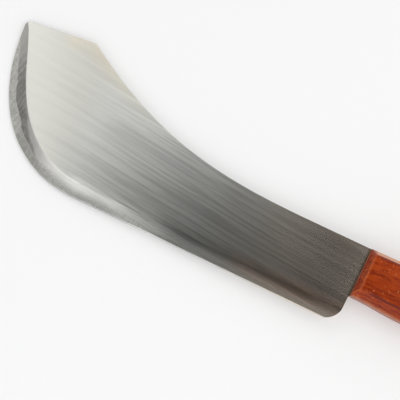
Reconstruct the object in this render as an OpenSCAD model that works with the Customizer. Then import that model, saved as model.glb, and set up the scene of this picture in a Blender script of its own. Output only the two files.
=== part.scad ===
// Machete with a broad clipped blade and a riveted wooden handle, in millimetres.
// It lies on its right side: the tip points along -X, the spine faces +Y, the cutting
// edge faces -Y, and the thickness is along Z. The plate's middle is the plane between
// the two scales, and the place where the spine meets the handle is the drawing's zero.

/* [Blade] */
// Length from the front of the handle to the tip
blade_l = 305; // [254:1:366]
// Thickness of the steel plate, tang included
blade_t = 3; // [2:0.1:4]
// Depth of the straight cutting edge below the straight spine
edge_drop = 60.5; // [51:0.1:74]
// Height of the spine's rear corner above the straight spine
clip_rise = 52.9; // [44:0.1:64]
// Length of the clip, from the tip back to the spine's corner
clip_l = 54.5; // [45:0.5:66]
// Slope of the clip, down towards the tip, in degrees
clip_slope = 6.3; // [2:0.1:12]
// Slope of the spine where it reaches its corner, in degrees
spine_slope = 32; // [24:0.5:40]
// Length of straight spine in front of the handle
spine_run = 55.2; // [40:0.1:67]
// Pull of the straight spine on the curve that follows it
spine_pull = 79.3; // [60:0.1:96]
// Pull of the sloping end of the spine on the same curve
corner_pull = 78.1; // [60:0.1:94]
// Length of the belly along the blade, from the tip to the straight edge
belly_l = 95.3; // [80:0.1:115]
// Lean of the belly where it leaves the tip, off square to the blade, in degrees
belly_lean = 4.4; // [0:0.1:10]
// Pull of the tip end on the belly's curve
belly_pull_tip = 65.1; // [52:0.1:76]
// Pull of the straight edge on the belly's curve
belly_pull_edge = 56.4; // [46:0.1:68]
// Radius of the tip
tip_r = 4.5; // [2:0.1:6]
// Radius of the spine's corner
corner_r = 1.5; // [0.5:0.1:4]
// Radius of the heel, where the cutting edge ends
heel_r = 13.4; // [6:0.1:16]
// Gap that the heel leaves in front of the handle
heel_gap = 0.8; // [0.4:0.1:3]
// Radius of the inner corner between the heel and the tang
neck_r = 2.5; // [1:0.1:3]

/* [Edge grind] */
// Width of the ground bevel along the straight edge
bevel_w = 11; // [6:0.1:14]
// Extra width of the bevel halfway round the belly
bevel_belly = 3; // [0:0.1:4]
// Width of the bevel at the tip, where it starts
bevel_tip = 0.8; // [0.4:0.1:2]
// Length of edge over which the bevel gains most of its width
bevel_gain = 20; // [10:1:40]
// Length of edge over which the bevel gains most of its depth
bevel_bite = 20; // [6:1:40]
// How far the bevel bulges: 0 is flat, 1 rolls into the side of the blade
bevel_crown = 0.1; // [0:0.05:1]
// Width of the honed strip at the very edge
hone_w = 0.7; // [0.4:0.1:1.5]
// Thickness of the steel behind the honed strip
hone_t = 0.8; // [0.5:0.1:1.4]
// Thickness of the very edge
edge_t = 0.2; // [0.1:0.05:0.4]

/* [Handle] */
// Length of the handle
handle_l = 130; // [108:1:156]
// Height of the handle at its front
front_h = 37.5; // [31:0.1:45]
// Height of the handle at its swell, behind the front
swell_h = 40.2; // [36:0.1:46]
// Height of the handle at its waist
waist_h = 31.5; // [28:0.1:37]
// Height of the butt with its beak
butt_h = 46.5; // [39:0.1:50]
// Step from the spine down to the handle's top at the front
front_step = 0.3; // [0:0.1:2]
// Rise of the handle's top above the spine at the swell and at the butt
top_rise = 0.5; // [0:0.1:2]
// Dip of the handle's top below the spine at the waist
top_dip = 2.2; // [0:0.1:4]
// Distance of the swell from the front
swell_x = 42; // [35:1:50]
// Distance of the waist from the butt's end
waist_back = 40; // [33:1:48]
// Distance of the beak's lowest point from the butt's end
beak_back = 11; // [10:0.5:13]
// Distance of the butt's top from the butt's end
crest_back = 13; // [11:0.5:16]

/* [Wooden scales] */
// Thickness of each wooden scale
scale_t = 10; // [8.5:0.1:12]
// Width of the chamfer along the scale's sides
chamfer_w = 4.5; // [3:0.1:5.4]
// Extra width of the lower chamfer along the grip, where the fingers close round it
finger_relief = 2.5; // [0:0.1:3]
// Depth of the chamfers, from the outer face towards the tang
chamfer_d = 7; // [5:0.1:8]
// Length of the chamfer at the front of the scale
front_chamfer = 4.6; // [4:0.1:7]
// Set-back of the softening on the chamfer's edges
edge_soft = 1; // [0.5:0.1:1.4]

/* [Rivets] */
// Diameter of the rivet shanks
rivet_d = 5; // [4:0.1:6]
// Diameter of the rivet heads
rivet_head_d = 8.4; // [7:0.1:10]
// Height of the domed rivet heads
rivet_head_h = 0.9; // [0.6:0.1:1.5]
// Diameter of the washers
washer_d = 12; // [10:0.1:14.4]
// Thickness of the washers
washer_t = 1.2; // [0.8:0.1:1.5]
// Distance of the first rivet from the handle's front
first_rivet_x = 38; // [32:1:45]
// Distance of the last rivet from the butt's end
last_rivet_back = 36; // [32:1:43]
// Distance of the line of rivets below the spine
rivet_drop = 18.7; // [16:0.1:21]
// Clearance round the shanks, in the radius
shank_gap = 0.05; // [0.02:0.01:0.2]
// Clearance round the washers, in the radius
washer_gap = 0.1; // [0.05:0.01:0.3]
// How far the rivet heads lie below the outer face of the wood
head_sink = 0.3; // [0.1:0.1:0.6]

/* [Lanyard hole] */
// Diameter of the hole through the butt
hole_d = 8; // [6:0.1:9.6]
// Distance of the hole from the butt's end
hole_back = 15; // [13:0.5:17]
// Distance of the hole below the spine
hole_drop = 22.5; // [19:0.1:26]
// Width of the countersink round the hole
hole_sink = 1; // [0.5:0.1:2]

/* [Hidden] */

steel = "#a3a49e";
wood = "#93391a";
brass = "#b08a4a";

// Facets of the round parts
$fn = 48;
// Spans round the belly, along the straight edge and along the curved spine
belly_spans = 48;
run_spans = 20;
bend_spans = 50;
// Facets across the bevel
bevel_steps = 8;
// Spans of each stretch of the handle's outline, from the front to the butt
grip_spans = [6, 9, 9, 12];
// Facets of each softened edge, of the neck's curve and of a rivet's dome
soft_steps = 4;
neck_steps = 6;
dome_steps = 6;
// Room by which a cut runs past what it cuts
past = 1;
// Extra radius with which a rounding cut crosses its lines, where the true one only touches them
cross = 0.01;
// Pull of the butt's round ends, as a share of their length and height
end_pull = 0.68;
// Pull of the handle's long waves, as a share of their length
wave_pull = 0.42;
// Length over which the front chamfer's shift dies out along the sides
front_fade = 25;
// Length over which the lower chamfer gains most of its extra width
relief_rise = 8;

half_t = blade_t / 2;
scale_top = half_t + scale_t;
shift_x = (blade_l - handle_l) / 2;
shift_y = (edge_drop - clip_rise) / 2;

function unit(angle) = [cos(angle), sin(angle)];
function mix(a, b, share) = a + (b - a) * share;
function turned(v) = [-v[1], v[0]];
function eased(u) = let (v = min(1, max(0, u))) v * v * (3 - 2 * v);
function bezier(p, u) = let (v = 1 - u)
    v * v * v * p[0] + 3 * v * v * u * p[1] + 3 * v * u * u * p[2] + u * u * u * p[3];
function bezier_way(p, u) = let (v = 1 - u, way =
    v * v * (p[1] - p[0]) + 2 * v * u * (p[2] - p[1]) + u * u * (p[3] - p[2])) way / norm(way);
// Sharp corner of two lines that touch a circle, given by the angles of their outward normals
function corner(centre, r, from, to) = centre + r / cos((to - from) / 2) * unit((from + to) / 2);
// Curve that cuts the corner b off the path a, b, c
function softened(a, b, c, set_back, steps) = let (
    p = b + set_back * (a - b) / norm(a - b),
    q = b + set_back * (c - b) / norm(c - b))
    [for (k = [0:steps]) let (u = k / steps) mix(mix(p, b, u), mix(b, q, u), u)];

// Outline of the blade. The clip touches the circles of the tip and of the spine's corner.
clip_normal = 90 + clip_slope;
spine_normal = 90 - spine_slope;
belly_normal = 180 + belly_lean;
corner_centre = [-blade_l + clip_l, clip_rise - corner_r];
tip_x = -blade_l + tip_r;
tip_y = (unit(clip_normal) * corner_centre + corner_r - tip_r - cos(clip_normal) * tip_x)
    / sin(clip_normal);
tip_centre = [tip_x, tip_y];
tip_point = corner(tip_centre, tip_r, clip_normal, belly_normal);
corner_point = corner(corner_centre, corner_r, spine_normal, clip_normal);
heel_point = [-heel_gap, -edge_drop];
belly_end = [-blade_l + belly_l, -edge_drop];
belly_curve = [
    tip_point,
    tip_point + belly_pull_tip * unit(belly_normal + 90),
    belly_end - [belly_pull_edge, 0],
    belly_end,
];
spine_curve = [
    corner_point,
    corner_point + corner_pull * unit(-spine_slope),
    [-spine_run - spine_pull, 0],
    [-spine_run, 0],
];
edge_points = [
    for (i = [0:belly_spans]) bezier(belly_curve, i / belly_spans),
    for (i = [1:run_spans]) mix(belly_end, heel_point, i / run_spans),
];
spine_spans = belly_spans + run_spans - bend_spans;
spine_points = [
    for (i = [0:bend_spans]) bezier(spine_curve, i / bend_spans),
    for (i = [1:spine_spans]) mix([-spine_run, 0], [-heel_gap, 0], i / spine_spans),
];
rib_count = len(edge_points);

// Way into the steel, square to the edge. The first rib lies along the clip.
edge_inward = [
    unit(clip_slope),
    for (i = [1:belly_spans]) turned(bezier_way(belly_curve, i / belly_spans)),
    for (i = [1:run_spans]) [0, 1],
];
// Length of edge from the tip to each rib
edge_travel = [
    for (i = 0, s = 0; i < rib_count;
        i = i + 1, s = i < rib_count ? s + norm(edge_points[i] - edge_points[i - 1]) : s) s
];
belly_travel = edge_travel[belly_spans];

// Width of the bevel after s of edge. It starts narrow at the tip and is widest round the belly.
function bevel_at(s) = let (full = bevel_w + bevel_belly * sin(180 * min(s / belly_travel, 1)))
    mix(bevel_tip, full, 1 - exp(-s / bevel_gain));
// Half thickness of the steel, at a share of the full grind
function ground(z, bite) = mix(half_t, z, bite);
// Section of the bevel as points [distance from the edge, half thickness]
function bevel_section(w, bite) = let (hone = min(hone_w, w / 2)) [
    [0, ground(edge_t / 2, bite)],
    for (k = [0:bevel_steps]) let (
        share = k / bevel_steps,
        rise = share + bevel_crown * share * (1 - share))
        [mix(hone, w, share), ground(mix(hone_t / 2, half_t, rise), bite)],
];
// One rib: over the left side from the edge to the spine, and back over the right side
function rib(i) = let (
    s = edge_travel[i],
    section = bevel_section(bevel_at(s), 1 - exp(-s / bevel_bite)),
    side = concat(
        [for (p = section) let (at = edge_points[i] + p[0] * edge_inward[i]) [at[0], at[1], p[1]]],
        [[spine_points[i][0], spine_points[i][1], half_t]]),
    last = len(side) - 1)
    concat(side, [for (k = [last:-1:0]) [side[k][0], side[k][1], -side[k][2]]]);

// Outline of the handle: the top and the bottom line, each from the front to the butt's end
waist_x = handle_l - waist_back;
front_top = [0, -front_step];
swell_top = [swell_x, top_rise];
waist_top = [waist_x, -top_dip];
butt_top = [handle_l - crest_back, top_rise];
front_low = front_top - [0, front_h];
swell_low = swell_top - [0, swell_h];
waist_low = waist_top - [0, waist_h];
butt_low = [handle_l - beak_back, top_rise - butt_h];
butt_mid = [handle_l, top_rise - butt_h / 2];

function wave(a, b) = let (pull = [wave_pull * (b[0] - a[0]), 0]) [a, a + pull, b - pull, b];
function quarter(a, b) = [a, [mix(a[0], b[0], end_pull), a[1]], [b[0], mix(b[1], a[1], end_pull)], b];
top_line = [
    wave(front_top, swell_top), wave(swell_top, waist_top), wave(waist_top, butt_top),
    quarter(butt_top, butt_mid),
];
low_line = [
    wave(front_low, swell_low), wave(swell_low, waist_low), wave(waist_low, butt_low),
    quarter(butt_low, butt_mid),
];

// Points of a line as [place, way inward], where side is -1 for the top and 1 for the bottom
function traced(line, side) = [
    for (s = [0:len(line) - 1]) for (k = [1:grip_spans[s]]) let (u = k / grip_spans[s])
        [bezier(line[s], u), side * turned(bezier_way(line[s], u))],
];
front_corners = [[front_top, [0, -1]], [front_low, [0, 1]]];
top_points = concat([front_corners[0]], traced(top_line, -1));
low_points = concat([front_corners[1]], traced(low_line, 1));
// The outline runs out along the top and back along the bottom. The two lines share their end.
grip_points = concat(
    top_points,
    [for (i = [len(low_points) - 2:-1:0]) low_points[i]]);
// Extra share of the lower chamfer's width. It grows from the front and dies out at the beak.
function relief(x) = finger_relief / chamfer_w * (1 - exp(-x / relief_rise))
    * eased((butt_low[0] - x) / (butt_low[0] - waist_x));
// Way in which a point moves as the scale narrows, with the front's own chamfer length
function narrowing(p) = (1 + max(0, p[1][1]) * relief(p[0][0])) * p[1]
    + [front_chamfer / chamfer_w * max(0, 1 - p[0][0] / front_fade), 0];

// Section of a scale's side as points [distance inward, height above the tang]
wall_h = scale_t - chamfer_d;
scale_section = concat(
    [[0, 0]],
    softened([0, 0], [0, wall_h], [chamfer_w, scale_t], edge_soft, soft_steps),
    softened([0, wall_h], [chamfer_w, scale_t], [2 * chamfer_w, scale_t], edge_soft, soft_steps));

// Places of the rivets and of the hole
last_rivet_x = handle_l - last_rivet_back;
rivet_xs = [first_rivet_x, (first_rivet_x + last_rivet_x) / 2, last_rivet_x];
hole_place = [handle_l - hole_back, -hole_drop];
// Depth of the washers' seats, and the washers' outer faces above the plate's middle
seat_depth = head_sink + rivet_head_h + washer_t;
seat_z = scale_top - seat_depth;
washer_z = seat_z + washer_t;
shank_hole_r = rivet_d / 2 + shank_gap;

// Solid through a row of rings with as many points each. Seen along the row, a ring runs
// anticlockwise. Its two ends are closed by strips between points that face each other.
module loft(rings) {
    n = len(rings[0]);
    last = len(rings) - 1;
    points = [for (ring = rings) for (p = ring) p];
    strips = [
        for (j = [0:n - 2]) if (j + 1 < n - 1 - j) [j, j + 1, n - 1 - j],
        for (j = [0:n - 2]) if (j + 1 < n - 2 - j) [j + 1, n - 2 - j, n - 1 - j],
    ];
    sides = [for (r = [0:last - 1]) for (j = [0:n - 1]) for (half = [0, 1])
        let (a = r * n + j, b = r * n + (j + 1) % n)
        half == 0 ? [a, b, b + n] : [a, b + n, a + n]];
    polyhedron(points, concat(
        sides,
        [for (t = strips) [t[2], t[1], t[0]]],
        [for (t = strips) [for (k = t) k + last * n]]));
}

// Everything outside a rounded corner whose lines have the given outward normals
module corner_waste(centre, r, from, to) {
    far = r + past;
    linear_extrude(blade_t + 2 * past, center = true)
        difference() {
            polygon([
                centre,
                centre + far * unit(from),
                corner(centre, far, from, to),
                centre + far * unit(to),
            ]);
            translate(centre)
                circle(r + cross);
        }
}

module in_place() {
    translate([shift_x, shift_y, scale_top])
        children();
}

module at_rivet(i) {
    translate([rivet_xs[i], -rivet_drop, 0])
        children();
}

module steel_plate() {
    loft([for (i = [0:rib_count - 1]) rib(i)]);
    tang();
}

// Tang with the neck that joins it to the heel
module tang() {
    neck = softened([-heel_gap, -edge_drop], [-heel_gap, front_low[1]], front_low + [neck_r, 0],
        neck_r, neck_steps);
    linear_extrude(blade_t, center = true)
        polygon(concat(
            [[-heel_gap, 0], [0, 0]],
            [for (p = grip_points) if (p[0] != front_low) p[0]],
            [for (k = [neck_steps:-1:0]) neck[k]]));
}

module blade() {
    heel_round = min(heel_r, edge_drop + front_low[1] - neck_r - past);
    color(steel)
        in_place()
            difference() {
                steel_plate();
                corner_waste(tip_centre, tip_r, clip_normal, belly_normal);
                corner_waste(corner_centre, corner_r, spine_normal, clip_normal);
                corner_waste(heel_point + [-heel_round, heel_round], heel_round, -90, 0);
                for (i = [0:2])
                    at_rivet(i)
                        cylinder(h = blade_t + 2 * past, r = shank_hole_r, center = true);
                translate(hole_place)
                    cylinder(h = blade_t + 2 * past, d = hole_d, center = true);
            }
}

// Left scale, on the plate's middle plane
module scale() {
    difference() {
        translate([0, 0, half_t])
            loft([for (s = scale_section)
                [for (p = grip_points) let (at = p[0] + s[0] * narrowing(p)) [at[0], at[1], s[1]]]]);
        for (i = [0:2])
            at_rivet(i) {
                cylinder(h = scale_top + past, r = shank_hole_r);
                translate([0, 0, seat_z])
                    cylinder(h = seat_depth + past, r = washer_d / 2 + washer_gap);
            }
        translate(hole_place) {
            cylinder(h = scale_top + past, d = hole_d);
            translate([0, 0, scale_top - hole_sink])
                cylinder(h = hole_sink + past, r1 = hole_d / 2, r2 = hole_d / 2 + hole_sink + past);
        }
    }
}

module left_scale() {
    color(wood)
        in_place()
            scale();
}

module right_scale() {
    color(wood)
        in_place()
            mirror([0, 0, 1])
                scale();
}

// Rivet with both of its heads upset over the washers
module rivet(i) {
    head_r = rivet_head_d / 2;
    dome = [for (k = [0:dome_steps]) let (a = 90 * k / dome_steps)
        [head_r * cos(a), washer_z + rivet_head_h * sin(a)]];
    color(brass)
        in_place()
            at_rivet(i)
                rotate_extrude()
                    polygon(concat(
                        [[rivet_d / 2, -washer_z], [rivet_d / 2, washer_z]],
                        dome,
                        [for (k = [dome_steps:-1:0]) [dome[k][0], -dome[k][1]]]));
}

// Washer of one rivet, where side is 1 on the left and -1 on the right
module washer(i, side) {
    color(brass)
        in_place()
            at_rivet(i)
                translate([0, 0, side > 0 ? seat_z : -seat_z - washer_t])
                    difference() {
                        cylinder(h = washer_t, d = washer_d);
                        translate([0, 0, -past])
                            cylinder(h = washer_t + 2 * past, r = shank_hole_r);
                    }
}

module front_rivet() { rivet(0); }
module middle_rivet() { rivet(1); }
module rear_rivet() { rivet(2); }
module front_left_washer() { washer(0, 1); }
module front_right_washer() { washer(0, -1); }
module middle_left_washer() { washer(1, 1); }
module middle_right_washer() { washer(1, -1); }
module rear_left_washer() { washer(2, 1); }
module rear_right_washer() { washer(2, -1); }

blade();
left_scale();
right_scale();
front_rivet();
middle_rivet();
rear_rivet();
front_left_washer();
front_right_washer();
middle_left_washer();
middle_right_washer();
rear_left_washer();
rear_right_washer();
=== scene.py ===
# %% [markdown]
# # A machete on a white table
# The machete is a ground steel blade on a full tang, between two varnished wooden scales that three
# brass rivets hold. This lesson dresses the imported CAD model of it: it sets up the camera, the table
# and the studio light, builds the finishes out of shader nodes, and models the rivets and washers
# anew with their hammered heads. Lengths are metres. +X runs from the tip to the butt, +Y from the
# cutting edge to the spine, and +Z out of the side that faces up.

# %% Load the CAD frame
import math
import random

import bmesh
import bpy
from mathutils import Matrix, Vector


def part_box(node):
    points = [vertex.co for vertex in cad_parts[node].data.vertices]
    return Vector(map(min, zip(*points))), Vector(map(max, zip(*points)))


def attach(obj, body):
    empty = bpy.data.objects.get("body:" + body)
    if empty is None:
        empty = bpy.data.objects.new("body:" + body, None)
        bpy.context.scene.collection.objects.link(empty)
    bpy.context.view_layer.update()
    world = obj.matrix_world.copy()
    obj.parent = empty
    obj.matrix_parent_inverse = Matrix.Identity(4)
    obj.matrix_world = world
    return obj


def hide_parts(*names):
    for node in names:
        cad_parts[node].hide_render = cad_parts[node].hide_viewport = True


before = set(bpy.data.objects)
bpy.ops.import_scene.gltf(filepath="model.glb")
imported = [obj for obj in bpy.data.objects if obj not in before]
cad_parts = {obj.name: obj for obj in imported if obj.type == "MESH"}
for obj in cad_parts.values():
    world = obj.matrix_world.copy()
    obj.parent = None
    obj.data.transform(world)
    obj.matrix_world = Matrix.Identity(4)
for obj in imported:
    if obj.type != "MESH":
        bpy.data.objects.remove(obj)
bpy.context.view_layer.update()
scene = bpy.context.scene
scene.view_settings.view_transform = "Standard"
mm = 0.001
print("CAD nodes:", ", ".join(sorted(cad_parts)))

# %% [markdown]
# ## The camera
# The photograph was taken from almost straight above, turned so that the blade runs from the upper
# left to the lower right. A camera can be placed with angles or with a Track To constraint. Here its
# three axes are worked out from the two viewing angles, because then the picture's own directions,
# right, up and back towards the camera, are at hand for placing the lamps as well.

# %% Camera
VIEW_AZIMUTH = math.radians(26.19)
VIEW_ELEVATION = math.radians(75)
VIEW_DISTANCE = 1.039
LOOK_AT = Vector((-39.7, -17.5, 11.5)) * mm
# Both in millimetres, as a camera's settings are
FOCAL_LENGTH = 128.6
SENSOR_WIDTH = 36

picture_right = Vector((math.cos(VIEW_AZIMUTH), math.sin(VIEW_AZIMUTH), 0))
picture_back = Vector((
    math.sin(VIEW_AZIMUTH) * math.cos(VIEW_ELEVATION),
    -math.cos(VIEW_AZIMUTH) * math.cos(VIEW_ELEVATION),
    math.sin(VIEW_ELEVATION)))
picture_up = picture_back.cross(picture_right)
away = Vector((0, 0, 1)).cross(picture_right)


def stand(axis_right, axis_up, axis_back, place):
    """A matrix that turns an object's X, Y and Z to three directions and puts it at a place."""
    turn = Matrix((axis_right, axis_up, axis_back)).transposed()
    return Matrix.Translation(place) @ turn.to_4x4()


lens = bpy.data.cameras.new("view")
lens.lens = FOCAL_LENGTH
lens.sensor_width = SENSOR_WIDTH
camera = bpy.data.objects.new("view", lens)
camera.matrix_world = stand(picture_right, picture_up, picture_back,
                            LOOK_AT + picture_back * VIEW_DISTANCE)
scene.collection.objects.link(camera)
scene.camera = camera
print("camera at", [round(v, 3) for v in camera.matrix_world.translation])

# %% [markdown]
# ## How the machete lies
# The handle is thicker than the blade, so on a table the machete leans: it touches with the lower
# scale and with the belly of the blade. Its own frame lies flat, so the table takes the lean
# instead. A body rests on the face of its convex hull that lies under its centre of mass, and bmesh
# has an operator for the hull, so no angle has to be guessed.

# %% Read a CAD piece and find its balance point
TINY = 0.001 * mm


def read_mesh(node):
    """A bmesh with a CAD node's loose triangles joined into one closed surface."""
    made = bmesh.new()
    made.from_mesh(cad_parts[node].data)
    bmesh.ops.remove_doubles(made, verts=made.verts, dist=TINY)
    return made


def centroid(made):
    """Volume and centre of a closed surface, summed over the wedges between its faces and zero."""
    volume, centre = 0, Vector()
    for a, b, c in (tuple(v.co for v in f.verts) for f in made.faces):
        wedge = a.dot(b.cross(c)) / 6
        volume += wedge
        centre += wedge * (a + b + c) / 4
    return volume, centre / volume


print("points closer than", TINY / mm, "mm are joined")

# %% [markdown]
# The hull's faces are searched for the one that faces down and has the balance point straight above
# it. The rivets and washers weigh a few grams each, so they are left out.

# %% Find the resting plane
# Kilograms in a cubic metre of steel and of hardwood
DENSITY = {"blade": 7850, "left_scale": 700, "right_scale": 700}
FACING_DOWN = -0.5


def resting_face():
    """A point and the upward normal of the hull's face below the centre of mass."""
    hull = bmesh.new()
    mass, moment = 0, Vector()
    for node, density in DENSITY.items():
        part = read_mesh(node)
        volume, centre = centroid(part)
        mass += density * volume
        moment += density * volume * centre
        for v in part.verts:
            hull.verts.new(v.co)
        part.free()
    found = bmesh.ops.convex_hull(hull, input=hull.verts)
    spare = {g for g in found["geom_interior"] + found["geom_unused"]
             if isinstance(g, bmesh.types.BMVert)}
    bmesh.ops.delete(hull, geom=list(spare), context="VERTS")
    bmesh.ops.recalc_face_normals(hull, faces=hull.faces)
    centre = moment / mass
    for f in hull.faces:
        corners = [v.co.xy for v in f.verts]
        sides = [(b - a).cross(centre.xy - a) for a, b in zip(corners, corners[1:] + corners[:1])]
        if f.normal.z < FACING_DOWN and (max(sides) <= 0 or min(sides) >= 0):
            place, normal = f.verts[0].co.copy(), -f.normal.copy()
            hull.free()
            return place, normal, centre
    raise RuntimeError("no hull face lies under the centre of mass")


rest_point, table_up, balance = resting_face()
print("balance point (mm):", [round(v / mm, 1) for v in balance],
      " lean:", round(math.degrees(table_up.angle(Vector((0, 0, 1)))), 2), "degrees")

# %% [markdown]
# ## The table
# A white sheet that runs on to the horizon. A studio would hang a curved backdrop behind it, but
# from above only the sheet shows, so it is one flat grid, large enough that no view sees its end.
# Its matt white takes the soft shadow. Part of its brightness is a faint light of its own: a paler
# sheet would render as bright, but with a darker shadow than the photograph's.

# %% Table
TABLE_SIZE = 8.0
PAPER_TONE = 0.668
PAPER_GLOW = 0.24


def link_mesh(made, name, finish):
    """Makes a bmesh an object with one material, and frees the bmesh."""
    mesh = bpy.data.meshes.new(name)
    made.to_mesh(mesh)
    made.free()
    mesh.materials.append(finish)
    thing = bpy.data.objects.new(name, mesh)
    scene.collection.objects.link(thing)
    return thing


def new_finish(name):
    """An empty node material: returns the material, its node tree and its Principled shader."""
    finish = bpy.data.materials.new(name)
    finish.use_nodes = True
    return finish, finish.node_tree, finish.node_tree.nodes["Principled BSDF"]


paper, tree, shader = new_finish("white paper")
shader.inputs["Base Color"].default_value = (PAPER_TONE, PAPER_TONE, PAPER_TONE, 1)
shader.inputs["Emission Color"].default_value = (1, 1, 1, 1)
shader.inputs["Emission Strength"].default_value = PAPER_GLOW
shader.inputs["Roughness"].default_value = 1
shader.inputs["Specular IOR Level"].default_value = 0

sheet = bmesh.new()
bmesh.ops.create_grid(sheet, x_segments=1, y_segments=1, size=TABLE_SIZE / 2)
lean = Vector((0, 0, 1)).rotation_difference(table_up).to_matrix()
bmesh.ops.rotate(sheet, verts=sheet.verts, matrix=lean)
bmesh.ops.translate(sheet, verts=sheet.verts, vec=rest_point)
table = link_mesh(sheet, "table", paper)
print("table under", [round(v / mm, 1) for v in rest_point])

# %% [markdown]
# ## The room
# Bare steel is a mirror that a grinding belt has roughened, so it shows its surroundings, and they
# are what has to be built. The walls come first. An image of a studio could light the scene, but a
# few numbers do it as well: the world's shader only needs to know how steeply a direction climbs,
# and a Map Range node turns that into bright walls that end below a dark ceiling. The walls grow
# brighter towards a window, which lies on the picture's right and a little nearer than the machete.
# The camera itself sees the plain background that the photograph has.

# %% Room
WALL_LEVEL = 1.35
WALL_TILT = 0.62
WINDOW_TURN = math.radians(-42)
CEILING_LEVEL = 0.05
WALL_TOP = math.sin(math.radians(38))
CEILING_EDGE = math.sin(math.radians(46))
BACKGROUND = 0.92


def feed(tree, socket, value):
    """Links an input to another node's output, or sets it to a value."""
    if isinstance(value, bpy.types.NodeSocket):
        tree.links.new(value, socket)
    else:
        socket.default_value = value


def add_node(tree, kind, settings=None, **inputs):
    """Adds a shader node. Its inputs are named with _ for spaces, or with i and their number."""
    node = tree.nodes.new("ShaderNode" + kind)
    for key, value in (settings or {}).items():
        setattr(node, key, value)
    for key, value in inputs.items():
        numbered = key[0] == "i" and key[1:].isdigit()
        feed(tree, node.inputs[int(key[1:]) if numbered else key.replace("_", " ")], value)
    return node


world = bpy.data.worlds.new("studio")
scene.world = world
world.use_nodes = True
tree = world.node_tree
tree.nodes.clear()
way = add_node(tree, "TexCoord").outputs["Generated"]
climb = add_node(tree, "SeparateXYZ", Vector=way).outputs["Z"]
window = math.cos(WINDOW_TURN) * picture_right + math.sin(WINDOW_TURN) * away
to_window = add_node(tree, "VectorMath", {"operation": "DOT_PRODUCT"}, i0=way, i1=window)
wall = add_node(tree, "MapRange", Value=to_window.outputs["Value"], From_Min=-1.0, From_Max=1.0,
                To_Min=WALL_LEVEL - WALL_TILT, To_Max=WALL_LEVEL + WALL_TILT)
level = add_node(tree, "MapRange", {"interpolation_type": "SMOOTHSTEP"},
                 Value=climb, From_Min=WALL_TOP, From_Max=CEILING_EDGE,
                 To_Min=wall.outputs["Result"], To_Max=CEILING_LEVEL)
room = add_node(tree, "Background", Strength=level.outputs["Result"])
plain = add_node(tree, "Background", Strength=BACKGROUND)
seen = add_node(tree, "LightPath").outputs["Is Camera Ray"]
both = add_node(tree, "MixShader", i0=seen, i1=room.outputs[0], i2=plain.outputs[0])
add_node(tree, "OutputWorld", Surface=both.outputs[0])
print("walls", WALL_LEVEL, " ceiling", CEILING_LEVEL)

# %% [markdown]
# ## The light panels
# The ceiling is hung with flat panels, each with its own brightness, round a dark gap over the
# blade's rear half. The photograph's blade runs from light to dark because it mirrors the bright
# panels at the back on its tip, and the gap's dim edge on the rest. A narrow strip on the left is
# what the bevel shows as a bright band under the belly, and the panels at the front only reach the
# floor and the handle. An area lamp shines along its own -Z, so each is hung flat, facing down. Its
# power is worked out from the brightness that a mirror should see in it.

# %% Light panels
PANEL_HEIGHT = 1.2
# Sides of each panel as slopes, to the right and away from the camera, and its brightness
PANELS = {
    "strip": (-0.33, -0.195, 0.0, 0.6, 1.38),
    "far strip": (-0.33, -0.18, 0.6, 1.3, 2.2),
    "back left": (-0.195, -0.1, 0.32, 0.75, 0.88),
    "back": (-0.1, -0.03, 0.32, 0.75, 1.08),
    "back middle": (-0.03, 0.04, 0.32, 0.75, 0.93),
    "back right": (0.04, 0.12, 0.32, 0.75, 0.36),
    "rear right": (0.12, 0.5, 0.33, 0.75, 0.78),
    "far back": (-0.18, 0.5, 0.75, 1.3, 1.15),
    "dim edge": (-0.195, -0.1, 0.18, 0.32, 0.3),
    "dark edge": (-0.1, 0.2, 0.23, 0.32, 0.16),
    "far left": (-1.25, -0.33, 0.5, 1.3, 0.6),
    "left": (-1.25, -0.45, -0.3, 0.5, 0.55),
    "front left": (-1.25, -0.45, -1.1, -0.3, 1.5),
    "front": (-0.45, 0.3, -1.1, -0.3, 1.0),
    "front right": (0.3, 1.1, -1.1, -0.3, 1.6),
    "right": (0.3, 1.1, -0.3, 0.33, 1.65),
}


def light_panel(name, right_from, right_to, away_from, away_to, level):
    """Hangs one flat lamp above the table."""
    lamp = bpy.data.lights.new(name, "AREA")
    lamp.shape = "RECTANGLE"
    lamp.size = (right_to - right_from) * PANEL_HEIGHT
    lamp.size_y = (away_to - away_from) * PANEL_HEIGHT
    lamp.energy = level * math.pi * lamp.size * lamp.size_y
    thing = bpy.data.objects.new(name, lamp)
    slope_right, slope_away = (right_from + right_to) / 2, (away_from + away_to) / 2
    upwards = Vector((0, 0, 1))
    slope = slope_right * picture_right + slope_away * away + upwards
    thing.matrix_world = stand(picture_right, away, upwards, LOOK_AT + PANEL_HEIGHT * slope)
    thing.visible_camera = False
    scene.collection.objects.link(thing)
    print(name, "%.2f x %.2f m, %.1f W" % (lamp.size, lamp.size_y, lamp.energy))


for name, values in PANELS.items():
    light_panel(name, *values)

# %% [markdown]
# ## Marks that run one way
# Belt grinding leaves scratches in the steel along the blade, and wood has its grain along the
# handle. Both are noise that is stretched in one direction: the coordinates are multiplied by a
# small number along the marks and by a large one across them. It is built once as a node group, so
# that each finish gives it its own numbers. The group's inputs are in marks per metre.

# %% Helpers for node groups
def new_group(name, inputs, outputs):
    """A shader node group with named sockets: returns the tree, its input node and its output node."""
    tree = bpy.data.node_groups.new(name, "ShaderNodeTree")
    for way, sockets in (("INPUT", inputs), ("OUTPUT", outputs)):
        for label, kind in sockets:
            tree.interface.new_socket(label, in_out=way, socket_type="NodeSocket" + kind)
    return tree, tree.nodes.new("NodeGroupInput").outputs, tree.nodes.new("NodeGroupOutput").inputs


def use_group(tree, group, **inputs):
    """Places a node group in a material with its own values."""
    node = tree.nodes.new("ShaderNodeGroup")
    node.node_tree = group
    for key, value in inputs.items():
        feed(tree, node.inputs[key.replace("_", " ")], value)
    return node


print("a group's sockets come from its interface")

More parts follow.
